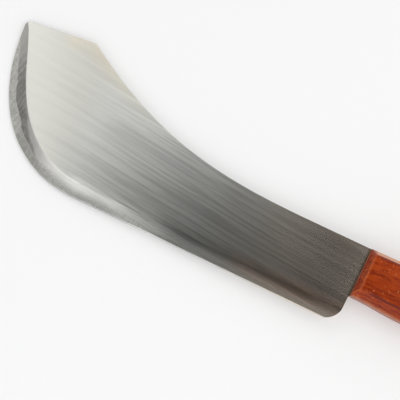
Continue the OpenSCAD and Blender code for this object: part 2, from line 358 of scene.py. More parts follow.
# %% [markdown]
# The marks group scales a place by its two numbers and reads a noise texture there. A Wave texture
# draws lines as well, but evenly spaced ones, and neither scratches nor grain are even.

# %% Marks group
NOISE_ROUGHNESS = 0.6

marks, entry, exit_ = new_group(
    "marks", [("Place", "Vector"), ("Along", "Float"), ("Across", "Float"), ("Detail", "Float")],
    [("Marks", "Float")])
stretch = add_node(marks, "CombineXYZ", X=entry["Along"], Y=entry["Across"], Z=entry["Across"])
scaled = add_node(marks, "VectorMath", {"operation": "MULTIPLY"},
                  i0=entry["Place"], i1=stretch.outputs[0])
noise = add_node(marks, "TexNoise", Vector=scaled.outputs[0], Scale=1.0, Detail=entry["Detail"],
                 Roughness=NOISE_ROUGHNESS)
marks.links.new(noise.outputs["Fac"], exit_["Marks"])
print("group:", marks.name, [i.name for i in marks.interface.items_tree])

# %% [markdown]
# ## Patches
# Stains, mottled wood and dull brass all come in blotches. A blotch is a noise that is cut off at a
# threshold, with a soft edge. This is the second effect that more than one finish uses, so it is a
# group as well. Its scale is in blotches per metre.

# %% Patches group
PATCH_DETAIL = 3.0


def math_node(tree, operation, *values, clamp=False):
    """The result of one Math node."""
    settings = {"operation": operation, "use_clamp": clamp}
    return add_node(tree, "Math", settings, **{f"i{i}": v for i, v in enumerate(values)}).outputs[0]


patches, entry, exit_ = new_group(
    "patches", [("Place", "Vector"), ("Scale", "Float"), ("Threshold", "Float"), ("Softness", "Float")],
    [("Mask", "Float")])
noise = add_node(patches, "TexNoise", Vector=entry["Place"], Scale=entry["Scale"],
                 Detail=PATCH_DETAIL, Roughness=NOISE_ROUGHNESS).outputs["Fac"]
half_soft = math_node(patches, "MULTIPLY", entry["Softness"], 0.5)
mask = add_node(patches, "MapRange", Value=noise,
                From_Min=math_node(patches, "SUBTRACT", entry["Threshold"], half_soft),
                From_Max=math_node(patches, "ADD", entry["Threshold"], half_soft))
patches.links.new(mask.outputs[0], exit_["Mask"])
print("group:", patches.name, [i.name for i in patches.interface.items_tree])

# %% [markdown]
# ## Ground steel
# The blade was ground lengthwise on a belt, which was held a few degrees off the blade's own
# direction, and its bevel on a coarser wheel. So the finish is a mirror of grey metal that the
# scratches have roughened, with the streaks of the belt in its tone. A picture of scratches could
# give the same, but stretched noise holds up close by and on both sides of the blade. What differs
# from place to place is laid on through masks: values from 0 to 1 that ramps make of a coordinate.

# %% Helpers for masks and colours
def ramp(tree, value, start, end, low=0.0, high=1.0, smooth=True):
    """Turns a value that goes from start to end into one from low to high, and holds it outside."""
    settings = {"interpolation_type": "SMOOTHSTEP" if smooth else "LINEAR"}
    return add_node(tree, "MapRange", settings, Value=value, From_Min=start, From_Max=end,
                    To_Min=low, To_Max=high).outputs[0]


def blend(tree, share, first, second, mode="MIX"):
    """A colour between two others, by a share from 0 to 1. MULTIPLY tints the first by the second."""
    node = add_node(tree, "Mix", {"data_type": "RGBA", "blend_type": mode})
    for number, value in ((0, share), (6, first), (7, second)):
        feed(tree, node.inputs[number], (*value, 1) if isinstance(value, tuple) else value)
    return node.outputs[2]


def in_mm(*lengths):
    """Lengths in millimetres, turned into metres."""
    return [length * mm for length in lengths]


def multiply(tree, *values):
    """The product of several values, clamped from 0 to 1."""
    product = values[0]
    for value in values[1:]:
        product = math_node(tree, "MULTIPLY", product, value, clamp=True)
    return product


def band(tree, value, start, rise, fall, end):
    """A mask that is 1 between rise and fall, and 0 before start and after end."""
    return multiply(tree, ramp(tree, value, start, rise), ramp(tree, value, end, fall))


print("one millimetre is", *in_mm(1), "metres")

# %% [markdown]
# Few borders on the blade run along X or Y, and hardly one is quite straight. So these helpers
# measure a distance in any direction, and let a value or a place stray with a noise.

# %% Helpers for places
def beyond(tree, place, point, degrees):
    """How far a place lies beyond a point in the plate's plane, in a direction given by its angle."""
    turn = math.radians(degrees)
    way = (math.cos(turn), math.sin(turn), 0)
    offset = add_node(tree, "VectorMath", {"operation": "SUBTRACT"}, i0=place, i1=point).outputs[0]
    reach = add_node(tree, "VectorMath", {"operation": "DOT_PRODUCT"}, i0=offset, i1=way)
    return reach.outputs["Value"]


def waver(tree, value, noise, reach):
    """A value that strays to both sides with a noise."""
    stray = math_node(tree, "SUBTRACT", noise, 0.5)
    return math_node(tree, "ADD", value, math_node(tree, "MULTIPLY", stray, reach))


def along_marks(tree, place, scale, detail, reach, turn):
    """A place that a slow noise pushes about, seen along the way in which the marks run."""
    push = add_node(tree, "TexNoise", Vector=place, Scale=scale, Detail=detail).outputs["Color"]
    push = add_node(tree, "VectorMath", {"operation": "SCALE"}, i0=push, Scale=reach).outputs[0]
    pushed = add_node(tree, "VectorMath", {"operation": "ADD"}, i0=place, i1=push).outputs[0]
    return add_node(tree, "Mapping", Vector=pushed, Rotation=(0, 0, turn)).outputs[0]


print("directions are angles from +X, in degrees")

# %% [markdown]
# How deep the grind is at a point needs no map: the steel gets thinner there, so the height above
# the plate's middle tells it. As a share of half the plate, it is 1 on the flats and falls to
# almost nothing at the cutting edge.

# %% Steel: flat and ground
PLATE_MIDDLE = 11.5 * mm
PLATE_HALF = 1.5 * mm
FLAT_ENDS, GRIND_STARTS = 0.995, 0.96
HANDLE_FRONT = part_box("left_scale")[0][0]

steel, tree, shader = new_finish("ground steel")
place = add_node(tree, "TexCoord").outputs["Object"]
xyz = add_node(tree, "SeparateXYZ", Vector=place).outputs
height = math_node(tree, "ABSOLUTE", math_node(tree, "SUBTRACT", xyz["Z"], PLATE_MIDDLE))
thickness = math_node(tree, "DIVIDE", height, PLATE_HALF)
flat = ramp(tree, thickness, GRIND_STARTS, FLAT_ENDS)
ground = ramp(tree, thickness, FLAT_ENDS, GRIND_STARTS)
print("handle from x", round(HANDLE_FRONT / mm, 1), "mm")

# %% [markdown]
# The wheel left two bands round the belly. The outer one is matt and mottled, and the inner one,
# next to the shoulder, still shines. Their border wavers. It is sharp near the tip and grows wide
# and soft under the belly, and the matt band dies out before the straight edge.

# %% Steel: the matt band
BORDER_X, BORDER_LEVELS, BORDER_WAVER = in_mm(-175, -120), (0.60, 0.40), 0.22
SOFT_X, SOFT_WIDTHS = in_mm(-165, -140), (0.05, 0.45)
RIPPLE_SCALE = 70.0
MATT_END_X = in_mm(-95, -45)
MATT_TOP_Y = in_mm(42, 22)

ripple = add_node(tree, "TexNoise", Vector=place, Scale=RIPPLE_SCALE, Detail=2.0).outputs["Fac"]
border = waver(tree, ramp(tree, xyz["X"], *BORDER_X, *BORDER_LEVELS), ripple, BORDER_WAVER)
softness = ramp(tree, xyz["X"], *SOFT_X, *SOFT_WIDTHS)
inwards = math_node(tree, "DIVIDE", math_node(tree, "SUBTRACT", thickness, border), softness)
outer = multiply(tree, ramp(tree, inwards, 1.0, -1.0), ramp(tree, xyz["X"], *MATT_END_X, 1.0, 0.0),
                 ramp(tree, xyz["Y"], *MATT_TOP_Y))
print("matt band ends at x", round(MATT_END_X[1] / mm), "mm")

# %% [markdown]
# At the tip the inner band is painted dark up to the shoulder, a painted reflection of the dark
# ceiling. Further down, a pale rim of painted highlight grows along the shoulder, and the dark narrows
# until it closes against the matt band. One slanting line, the closing line, parts the rim from the
# dark, so it makes both masks.

# %% Steel: the dark band and its rim
CLOSING_X, CLOSING_LEVELS, CLOSING_WAVER = in_mm(-192, -157), (1.04, 0.50), 0.2
DARK_END_X = in_mm(-164, -156)
DARK_SIDE, RIM_SIDE = (0.05, -0.05), (-0.02, 0.1)
RIM_X = in_mm(-192, -178, -152, -136)

closing = ramp(tree, xyz["X"], *CLOSING_X, *CLOSING_LEVELS, smooth=False)
inside = math_node(tree, "SUBTRACT", thickness, waver(tree, closing, ripple, CLOSING_WAVER))
dark_band = multiply(tree, ground, ramp(tree, inside, *DARK_SIDE),
                     ramp(tree, xyz["X"], *DARK_END_X, 1.0, 0.0))
rim = multiply(tree, ground, ramp(tree, inside, *RIM_SIDE), band(tree, xyz["X"], *RIM_X))
print("dark band ends at x", round(DARK_END_X[1] / mm), "mm")

# %% [markdown]
# The wheel ran nearly square to the belt, so its short marks cross both bands. In the matt band
# they are mixed half and half with a fine mottle. A noise keeps close to a half, so a ramp between
# two levels spreads it from 0 to 1.

# %% Steel: the wheel's marks
WHEEL_TURN = math.radians(-80)
WHEEL_SPREAD, MOTTLE_SPREAD = (0.38, 0.62), (0.4, 0.6)

wheel_way = add_node(tree, "Mapping", Vector=place, Rotation=(0, 0, WHEEL_TURN)).outputs[0]
wheel_marks = use_group(tree, marks, Place=wheel_way, Along=110.0, Across=650.0, Detail=4.0).outputs[0]
wheel_marks = ramp(tree, wheel_marks, *WHEEL_SPREAD)
mottle = add_node(tree, "TexNoise", Vector=place, Scale=420.0, Detail=3.0, Roughness=0.7).outputs["Fac"]
mottle = blend(tree, 0.5, ramp(tree, mottle, *MOTTLE_SPREAD), wheel_marks)
print("wheel marks turned by", round(math.degrees(WHEEL_TURN)), "degrees")

# %% [markdown]
# The belt's streaks are long and thin, and wander a little. They are drawn with the marks group on
# coordinates that are turned to the belt's direction and pushed about by a slow noise. Broad
# streaks set the steel's tone, and fine lines darken it. The lines are faint at the tip and in the
# half next to the handle, and the broad streaks fade out towards the tip.

# %% Steel: the belt's streaks
BELT_TURN = math.radians(6)
BELT_SWAY = 7 * mm
STREAK_SPREAD, LINE_SPREAD = (0.32, 0.68), (0.42, 0.58)
STEEL_DARK = (0.575, 0.58, 0.548)
STEEL_LIGHT = (0.66, 0.665, 0.628)
STEEL_PLAIN = (0.62, 0.622, 0.588)
LINE = (0.83, 0.83, 0.83)
LINES_RISE_X, LINES_AT_TIP = in_mm(-140, -80), 0.35
LINES_FALL_X, LINES_AT_HANDLE = in_mm(-30, 10), 0.5
STREAKS_RISE_X, STREAKS_AT_TIP = in_mm(-190, -110), 0.25

belt_way = along_marks(tree, place, scale=6.0, detail=1.0, reach=BELT_SWAY, turn=BELT_TURN)
streaks = use_group(tree, marks, Place=belt_way, Along=6.0, Across=220.0, Detail=3.0).outputs[0]
lines = use_group(tree, marks, Place=belt_way, Along=12.0, Across=480.0, Detail=3.0).outputs[0]
scratches = use_group(tree, marks, Place=belt_way, Along=40.0, Across=3500.0, Detail=1.0).outputs[0]
streaked = blend(tree, ramp(tree, streaks, *STREAK_SPREAD, smooth=False), STEEL_DARK, STEEL_LIGHT)
fine = multiply(tree, ramp(tree, lines, *LINE_SPREAD),
                ramp(tree, xyz["X"], *LINES_RISE_X, LINES_AT_TIP, 1.0),
                ramp(tree, xyz["X"], *LINES_FALL_X, 1.0, LINES_AT_HANDLE))
streaked = blend(tree, fine, streaked, LINE, "MULTIPLY")
tone = blend(tree, ramp(tree, xyz["X"], *STREAKS_RISE_X, STREAKS_AT_TIP, 1.0), STEEL_PLAIN, streaked)
print("streaks turned by", round(math.degrees(BELT_TURN)), "degrees")

# %% [markdown]
# Now the bands get their tones. A tone that is multiplied in keeps the streaks below it, and one that
# is mixed in covers them. The grind is polished under the belly, and it is painted brighter there too,
# a painted highlight that grows towards the straight edge. The dark band's painted reflection is paler
# up towards the clip, and the matt band gets painted shade where the belly bends most.

# %% Steel: the bands' tones
# The polished grind is painted brighter, a painted highlight
POLISH_X, POLISH_STEP_X, POLISH_AND_HIGHLIGHT = in_mm(-160, -142, -66, -34), in_mm(-112, -88), (1.15, 1.5)
# A painted highlight along the shoulder
RIM_HIGHLIGHT = (0.86, 0.86, 0.84)
# Painted reflections that make the dark band, paler towards the clip
DARK_REFLECTION = (0.455, 0.455, 0.43)
PALE_REFLECTION = (0.59, 0.595, 0.56)
WHEEL_LIGHT = (0.62, 0.62, 0.59)
PALE_REFLECTION_Y = in_mm(5, 35)
MATT_DARK = (0.41, 0.415, 0.393)
MATT_LIGHT = (0.63, 0.635, 0.602)
# Painted shade where the belly bends most
BEND_X, BEND_SHADE = in_mm(-188, -177, -164, -150), (0.82, 0.82, 0.82)

polish_and_highlight = multiply(tree, ground, band(tree, xyz["X"], *POLISH_X))
tone = blend(tree, polish_and_highlight, tone, ramp(tree, xyz["X"], *POLISH_STEP_X, *POLISH_AND_HIGHLIGHT), "MULTIPLY")
tone = blend(tree, rim, tone, RIM_HIGHLIGHT)
dark_band_reflection = blend(tree, ramp(tree, xyz["Y"], *PALE_REFLECTION_Y), DARK_REFLECTION, PALE_REFLECTION)
tone = blend(tree, dark_band, tone, blend(tree, wheel_marks, dark_band_reflection, WHEEL_LIGHT))
matt = blend(tree, mottle, MATT_DARK, MATT_LIGHT)
matt = blend(tree, band(tree, xyz["X"], *BEND_X), matt, BEND_SHADE, "MULTIPLY")
tone = blend(tree, outer, tone, matt)
print("grind polished by", *POLISH_AND_HIGHLIGHT)

# %% [markdown]
# The very edge was honed with a stone, which left a narrow facet. It mirrors other things than the
# bevel does, and that is painted into its tone: at the tip a painted highlight covers the steel's tone,
# and elsewhere painted shade only darkens it, most of all under the belly.

# %% Steel: the honed facet
# Painted reflection in the honed facet: shade along the edge, a highlight at the tip
HONED_REFLECTION = (0.70, 0.71, 0.71)
HONED_SHADE = (0.42, 0.43, 0.43)
HONED_HIGHLIGHT = (0.88, 0.88, 0.86)
HONED_TIP_X = in_mm(-172, -150)
HONED_EDGE_X = in_mm(-60, -20)
HONED_THICKNESS = (0.22, 0.12)

honed_reflection_tone = blend(tree, ramp(tree, xyz["X"], *HONED_EDGE_X), HONED_SHADE, HONED_REFLECTION)
honed_reflection_tone = blend(tree, 1.0, tone, honed_reflection_tone, "MULTIPLY")
honed_reflection_tone = blend(tree, ramp(tree, xyz["X"], *HONED_TIP_X), HONED_HIGHLIGHT, honed_reflection_tone)
tone = blend(tree, ramp(tree, thickness, *HONED_THICKNESS), tone, honed_reflection_tone)
print("honed facet bright up to x", round(HONED_TIP_X[0] / mm), "mm")

# %% [markdown]
# Bare steel stains. There is a straw-coloured bloom along the clip and the spine's corner, in
# blotches, and the half next to the handle has a brown cast. Each stain is a colour that multiplies
# the steel's. Where the bloom lies is measured square to the spine and to the clip.

# %% Steel: the bloom and the brown cast
STRAW = (1.08, 1.03, 0.935)
BROWN = (1.25, 1.1, 0.99)
BROWN_X = in_mm(-40, 70)
SPINE_CORNER = (-163 * mm, 56.7 * mm, 0)
# The directions out over a side and along it, each with where the bloom starts and is full
ALONG_SPINE = (64.8, in_mm(-15, -2)), (-25.2, in_mm(85, 30))
ALONG_CLIP = (96.3, in_mm(-16, -2)), (180, in_mm(26, 14))
BLOTCHED = (0.75, 1.0)

along_spine, along_clip = (
    multiply(tree, *(ramp(tree, beyond(tree, place, SPINE_CORNER, way), *reach) for way, reach in side))
    for side in (ALONG_SPINE, ALONG_CLIP))
blotches = use_group(tree, patches, Place=place, Scale=55.0, Threshold=0.45, Softness=0.25).outputs[0]
bloom = multiply(tree, math_node(tree, "MAXIMUM", along_spine, along_clip),
                 ramp(tree, blotches, 0.0, 1.0, *BLOTCHED))
tone = blend(tree, bloom, tone, STRAW, "MULTIPLY")
tone = blend(tree, ramp(tree, xyz["X"], *BROWN_X), tone, BROWN, "MULTIPLY")
print("bloom round", [round(v / mm, 1) for v in SPINE_CORNER[:2]])

# %% [markdown]
# The photograph's flat has slow changes of tone that a perfect plane can't mirror, and they are painted
# into the steel's tone: painted shade along its middle and next to the handle, a painted highlight
# beside the shoulder under the belly, and a painted dark line that follows the shoulder of the straight
# edge. A plate ground by hand is a little hollow in such places. That could be modelled, but it would
# be hundredths of a millimetre, so it is left to these painted tones, which multiply the steel's.

# %% Steel: the uneven plate's painted shade and highlight
HOLLOW_SHADE = (0.87, 0.87, 0.88)
HOLLOW_SHADE_X, HOLLOW_SHADE_Y = in_mm(-138, -108, -66, -22), in_mm(-16, -2, 9, 17)
GLOW_HIGHLIGHT = (1.42, 1.42, 1.41)
GLOW_HIGHLIGHT_X, GLOW_HIGHLIGHT_Y = in_mm(-138, -124, -62, -44), in_mm(-38.5, -45.5)
HANDLE_SHADE = (0.78, 0.77, 0.77)
HANDLE_SHADE_X = in_mm(25, 76)
ROLLED_SHADE = (0.79, 0.79, 0.78)
ROLLED_SHADE_X, ROLLED_SHADE_PAST = in_mm(-70, -54, 56, 72), in_mm(-1.5, 1, 3, 6.5)
SHOULDER_START, OUT_OVER_SHOULDER = (-50 * mm, -43.8 * mm, 0), 86.4

# Each of these masks is painted shade, except the glow, which is a painted highlight
hollow_shade = multiply(tree, flat, band(tree, xyz["Y"], *HOLLOW_SHADE_Y), band(tree, xyz["X"], *HOLLOW_SHADE_X))
glow_highlight = multiply(tree, flat, ramp(tree, xyz["Y"], *GLOW_HIGHLIGHT_Y), band(tree, xyz["X"], *GLOW_HIGHLIGHT_X))
handle_shade = multiply(tree, flat, ramp(tree, xyz["X"], *HANDLE_SHADE_X))
past_shoulder = beyond(tree, place, SHOULDER_START, OUT_OVER_SHOULDER)
rolled_shade = multiply(tree, band(tree, past_shoulder, *ROLLED_SHADE_PAST), band(tree, xyz["X"], *ROLLED_SHADE_X))
for mask, colour in ((hollow_shade, HOLLOW_SHADE), (glow_highlight, GLOW_HIGHLIGHT), (handle_shade, HANDLE_SHADE), (rolled_shade, ROLLED_SHADE)):
    tone = blend(tree, mask, tone, colour, "MULTIPLY")
print("hollow from x", round(HOLLOW_SHADE_X[0] / mm), "to", round(HOLLOW_SHADE_X[-1] / mm), "mm")

# %% [markdown]
# Rust has begun on the grind in the half next to the handle, in soft patches, and the tip is a touch
# warmer in tone. Against the handle lie dirt and varnish, with painted shade where the steel meets the
# wood, and inside it the tang is dark.

# %% Steel: rust, warmth, grime and painted shade
RUST = (1.22, 1.05, 0.98)
RUST_X, RUST_Y = in_mm(-14, 16, 82, 92), in_mm(-56, -49, -46, -38)
RUSTED = (0.5, 1.0)
TIP_WARMTH, TIP_X = (0.975, 0.96, 0.945), in_mm(-128, -158)
# Dirt, with painted shade where the steel meets the handle
GRIME_AND_SHADE, GRIME_AND_SHADE_X = (0.34, 0.23, 0.15), (HANDLE_FRONT - 2.8 * mm, HANDLE_FRONT - 0.2 * mm)
TANG, TANG_X = (0.30, 0.12, 0.06), (HANDLE_FRONT, HANDLE_FRONT + 1 * mm)

rust = use_group(tree, patches, Place=place, Scale=70.0, Threshold=0.42, Softness=0.3).outputs[0]
rust = multiply(tree, ramp(tree, rust, 0.0, 1.0, *RUSTED), band(tree, xyz["X"], *RUST_X),
                band(tree, xyz["Y"], *RUST_Y))
tone = blend(tree, rust, tone, RUST, "MULTIPLY")
tone = blend(tree, ramp(tree, xyz["X"], *TIP_X), tone, TIP_WARMTH, "MULTIPLY")
tone = blend(tree, ramp(tree, xyz["X"], *GRIME_AND_SHADE_X), tone, GRIME_AND_SHADE)
tone = blend(tree, ramp(tree, xyz["X"], *TANG_X), tone, TANG)
tree.links.new(tone, shader.inputs["Base Color"])
print("rust from x", round(RUST_X[0] / mm), "to", round(RUST_X[-1] / mm), "mm")

# %% [markdown]
# Gloss comes last. The belt's lines are a little glossier than the steel between them. The straight
# part of the bevel is more satin than the flat, and the matt band is the roughest. The relief is
# very low: three thousandths of a millimetre, mostly the broad streaks.

# %% Steel: gloss and relief
STEEL_ROUGH = 0.21
LINE_GLOSS = 0.06
SATIN_THICKNESS, SATIN_X, SATIN_ROUGH = (1.0, 0.5), in_mm(-90, -20), 0.08
MATT_ROUGH = (0.2, 0.35)
SCRATCH_SHARE = 0.05
STEEL_RELIEF = 0.003 * mm

rough = math_node(tree, "SUBTRACT", STEEL_ROUGH, math_node(tree, "MULTIPLY", lines, LINE_GLOSS))
satin = multiply(tree, ramp(tree, thickness, *SATIN_THICKNESS),
                 ramp(tree, xyz["X"], *SATIN_X, 0.0, SATIN_ROUGH))
rough = math_node(tree, "ADD", rough, satin)
rough = math_node(tree, "ADD", rough, multiply(tree, outer, ramp(tree, mottle, 0.0, 1.0, *MATT_ROUGH)))
tree.links.new(rough, shader.inputs["Roughness"])
shader.inputs["Metallic"].default_value = 1
relief = math_node(tree, "ADD", streaks, math_node(tree, "MULTIPLY", scratches, SCRATCH_SHARE))
bump = add_node(tree, "Bump", Strength=1.0, Distance=STEEL_RELIEF, Height=relief)
tree.links.new(bump.outputs[0], shader.inputs["Normal"])
print("steel nodes:", len(tree.nodes))

# %% [markdown]
# ## Varnished wood
# The scales are a plain hardwood, stained orange-red and varnished. The grain runs along the handle
# and waves, in streaks of a millimetre or two, with short dark pores and a few light flecks. A
# picture of wood would need to be laid round every chamfer, and noise in the piece's own
# coordinates runs through the whole block as real grain does.

# %% Wood: grain
GRAIN_TURN = math.radians(-3)
GRAIN_SWAY = 5 * mm
GRAIN_SPREAD, PORE_SPREAD = (0.4, 0.6), (0.62, 0.74)
WOOD_DARK = (0.185, 0.018, 0.002)
WOOD_LIGHT = (0.35, 0.049, 0.007)
WOOD_DEEP = (0.26, 0.028, 0.003)
WOOD_FLECK = (0.60, 0.19, 0.07)
DEEP_SHARE, PORE_TONE, FLECK_SHARE = 0.55, 0.5, 0.7

wood, tree, shader = new_finish("varnished wood")
place = add_node(tree, "TexCoord").outputs["Object"]
grain_way = along_marks(tree, place, scale=60.0, detail=2.0, reach=GRAIN_SWAY, turn=GRAIN_TURN)
grain = use_group(tree, marks, Place=grain_way, Along=60.0, Across=450.0, Detail=4.0).outputs[0]
pores = use_group(tree, marks, Place=grain_way, Along=170.0, Across=1500.0, Detail=1.0).outputs[0]
clouds = use_group(tree, patches, Place=grain_way, Scale=110.0, Threshold=0.5, Softness=0.3).outputs[0]
flecks = use_group(tree, patches, Place=place, Scale=420.0, Threshold=0.66, Softness=0.10).outputs[0]
tone = blend(tree, ramp(tree, grain, *GRAIN_SPREAD), WOOD_DARK, WOOD_LIGHT)
tone = blend(tree, ramp(tree, clouds, 0.0, 1.0, 0.0, DEEP_SHARE), tone, WOOD_DEEP)
tone = blend(tree, ramp(tree, pores, *PORE_SPREAD, 0.0, PORE_TONE), tone, WOOD_DARK)
tone = blend(tree, ramp(tree, flecks, 0.0, 1.0, 0.0, FLECK_SHARE), tone, WOOD_FLECK)
print("grain turned by", round(math.degrees(GRAIN_TURN)), "degrees")

# %% [markdown]
# How far a point lies below the outer face tells where it is on the chamfers and the sides, and works
# for the two scales alike. The chamfer on the finger side gets painted shade, a shade darker and
# redder, and the upper edge a pale painted highlight, except close to the front and to the butt.

# %% Wood: the two long sides
FACE_HEIGHT = 11.5 * mm
# Painted shade on the finger side's chamfer
UNDERSIDE_SHADE = (0.90, 0.82, 0.6)
UNDERSIDE_DEPTH, UNDERSIDE_Y = in_mm(0.1, 0.8), in_mm(-20, -25)
# A pale painted highlight along the upper edge
UPPER_HIGHLIGHT = (0.72, 0.34, 0.17)
UPPER_DEPTH, UPPER_Y, UPPER_SHARE = in_mm(1.2, 3.0, 6.6, 7.4), in_mm(-6, -3), 0.75
UPPER_X = [HANDLE_FRONT + 3 * mm, HANDLE_FRONT + 6 * mm, 150 * mm, 200 * mm]

xyz = add_node(tree, "SeparateXYZ", Vector=place).outputs
height = math_node(tree, "ABSOLUTE", math_node(tree, "SUBTRACT", xyz["Z"], PLATE_MIDDLE))
depth = math_node(tree, "SUBTRACT", FACE_HEIGHT, height)
lower = multiply(tree, ramp(tree, depth, *UNDERSIDE_DEPTH), ramp(tree, xyz["Y"], *UNDERSIDE_Y))
tone = blend(tree, lower, tone, UNDERSIDE_SHADE, "MULTIPLY")
upper = multiply(tree, band(tree, depth, *UPPER_DEPTH), ramp(tree, xyz["Y"], *UPPER_Y),
                 band(tree, xyz["X"], *UPPER_X), UPPER_SHARE)
# The pale upper edge is a painted highlight
tone = blend(tree, upper, tone, UPPER_HIGHLIGHT)
print("worn upper edge from x", round(UPPER_X[0] / mm, 1), "mm")

# %% [markdown]
# The ridges round the front chamfer get a painted highlight: the mitre at its lower corner, and the
# ridge where it meets the face. The mitre runs at 45 degrees through a point, so the distance from its
# line is measured square to it.

# %% Wood: painted highlights on the ridges
# Painted highlight on the mitre and the front ridge
RIDGE_HIGHLIGHT = (0.58, 0.13, 0.03)
MITRE, SQUARE_TO_MITRE = (HANDLE_FRONT, -33.2 * mm, 0), 135
MITRE_HALF, MITRE_SHARE = in_mm(0.9, 0.2), 0.7
MITRE_X = (HANDLE_FRONT + 5 * mm, HANDLE_FRONT + 4 * mm)
RIDGE_DEPTH, RIDGE_SHARE = in_mm(1.6, 0.2), (0.5, 0.15)
RIDGE_X = (HANDLE_FRONT + 6.6 * mm, HANDLE_FRONT + 4.8 * mm)

from_mitre = math_node(tree, "ABSOLUTE", beyond(tree, place, MITRE, SQUARE_TO_MITRE))
mitre = multiply(tree, ramp(tree, from_mitre, *MITRE_HALF), ramp(tree, xyz["X"], *MITRE_X),
                 MITRE_SHARE)
front_ridge = multiply(tree, ramp(tree, depth, *RIDGE_DEPTH), ramp(tree, xyz["X"], *RIDGE_X),
                       ramp(tree, clouds, 0.0, 1.0, *RIDGE_SHARE))
tone = blend(tree, math_node(tree, "MAXIMUM", mitre, front_ridge), tone, RIDGE_HIGHLIGHT)
print("mitre through", [round(v / mm, 1) for v in MITRE[:2]])

# %% [markdown]
# A dark line of painted shade lies just below the ridges of the long sides, from a little behind the
# front on. Lower on the sides the varnish is a little worn, and it is painted paler there as well, a
# painted light on sides that lie in shade. It is dark in the seam along the tang and at the front end.

# %% Wood: the painted shade line, the pale rim and the seam
# Painted shade for the line below the ridges, and the dark of the seam
WOOD_STAIN_AND_SHADE = (0.11, 0.008, 0.001)
# Worn varnish, painted paler as well: a painted light on the shaded lower sides
WOOD_RIM = (0.46, 0.15, 0.06)
SHADE_LINE_DEPTH, SHADE_LINE_SHARE = in_mm(0.05, 0.4, 0.9, 1.6), 0.85
SHADE_LINE_X = (HANDLE_FRONT + 5 * mm, HANDLE_FRONT + 18 * mm)
WEAR_AND_SHEEN_DEPTH, WEAR_AND_SHEEN_SHARE = in_mm(5.2, 6.6, 9.4, 9.9), (0.75, 0.3)
SEAM_DEPTH, SEAM_SHARE = in_mm(9.4, 9.9), 0.2
FRONT_X, FRONT_SHARE = (HANDLE_FRONT + 2.2 * mm, HANDLE_FRONT + 0.3 * mm), 0.55

shade_line = multiply(tree, band(tree, depth, *SHADE_LINE_DEPTH),
                    ramp(tree, xyz["X"], *SHADE_LINE_X, 0.0, SHADE_LINE_SHARE))
tone = blend(tree, shade_line, tone, WOOD_STAIN_AND_SHADE)
wear_and_sheen = multiply(tree, band(tree, depth, *WEAR_AND_SHEEN_DEPTH), ramp(tree, clouds, 0.0, 1.0, *WEAR_AND_SHEEN_SHARE))
tone = blend(tree, wear_and_sheen, tone, WOOD_RIM)
front_end = ramp(tree, xyz["X"], *FRONT_X, 0.0, FRONT_SHARE)
seam = math_node(tree, "MAXIMUM", ramp(tree, depth, *SEAM_DEPTH, 0.0, SEAM_SHARE), front_end)
tone = blend(tree, seam, tone, WOOD_STAIN_AND_SHADE)
tree.links.new(tone, shader.inputs["Base Color"])
print("seam", round(SEAM_DEPTH[0] / mm, 1), "mm below the face")

# %% [markdown]
# The varnish is thin and shines, less so where it is worn. Through it the grain stands up by some
# hundredths of a millimetre and the pores are open. That is too fine to model, so a Bump node tilts
# the light instead.

# %% Wood: gloss and relief
ROUGH_SPREAD, WOOD_ROUGH = (0.3, 0.7), (0.22, 0.15)
WORN_ROUGH = 0.15
WOOD_SHINE = 0.22
WOOD_RELIEF, GRAIN_SHARE, PORE_SHARE = 0.06 * mm, 0.6, -0.4

rough = ramp(tree, grain, *ROUGH_SPREAD, *WOOD_ROUGH)
rough = math_node(tree, "ADD", rough, math_node(tree, "MULTIPLY", wear_and_sheen, WORN_ROUGH))
tree.links.new(rough, shader.inputs["Roughness"])
shader.inputs["Specular IOR Level"].default_value = WOOD_SHINE
relief = math_node(tree, "ADD", math_node(tree, "MULTIPLY", grain, GRAIN_SHARE),
                   math_node(tree, "MULTIPLY", pores, PORE_SHARE))
bump = add_node(tree, "Bump", Strength=0.6, Distance=WOOD_RELIEF, Height=relief)
tree.links.new(bump.outputs[0], shader.inputs["Normal"])
print("wood nodes:", len(tree.nodes))

# %% [markdown]
# ## Dull brass
# The rivets and washers have been touched and left for years: brown patches of tarnish lie between
# the spots that the hand keeps bright. A plain brass colour would look like new. The patches group
# mixes a bright and a dull brass instead, and the dull one is rougher too. The blows of the hammer
# are modelled, not painted.

# %% Brass
BRASS_BRIGHT = (0.72, 0.50, 0.22)
BRASS_DULL = (0.36, 0.23, 0.10)
BRASS_ROUGH = (0.26, 0.5)
BRASS_RELIEF = 0.01 * mm

brass, tree, shader = new_finish("dull brass")
place = add_node(tree, "TexCoord").outputs["Object"]
tarnish = use_group(tree, patches, Place=place, Scale=350.0, Threshold=0.52, Softness=0.3).outputs[0]
hairs = use_group(tree, marks, Place=place, Along=300.0, Across=2600.0, Detail=1.0).outputs[0]
tree.links.new(blend(tree, tarnish, BRASS_BRIGHT, BRASS_DULL), shader.inputs["Base Color"])
tree.links.new(ramp(tree, tarnish, 0.0, 1.0, *BRASS_ROUGH), shader.inputs["Roughness"])
shader.inputs["Metallic"].default_value = 1
bump = add_node(tree, "Bump", Strength=0.5, Distance=BRASS_RELIEF, Height=hairs)
tree.links.new(bump.outputs[0], shader.inputs["Normal"])
print("brass nodes:", len(tree.nodes))

# %% [markdown]
# ## The blade and the scales
# Their shape is the CAD model's, but its mesh is loose triangles with knife-sharp edges, and no real
# edge is that sharp: a filed edge is round enough to catch the light as a thin line. So each is
# replaced by a joined copy. Faces are shaded smooth up to a crease, which is an edge that turns by
# more than an angle of each material's own.

# %% Helpers for finished pieces
UPRIGHT_SHARE = 0.5
UPRIGHT_CREASE = math.radians(30)


def finish_piece(made, name, finish, node):
    """Turns a bmesh into the finished piece that stands for a CAD node."""
    piece = link_mesh(made, name, finish)
    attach(piece, "root")
    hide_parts(node)
    print(name, "has", len(piece.data.polygons), "faces")
    return piece


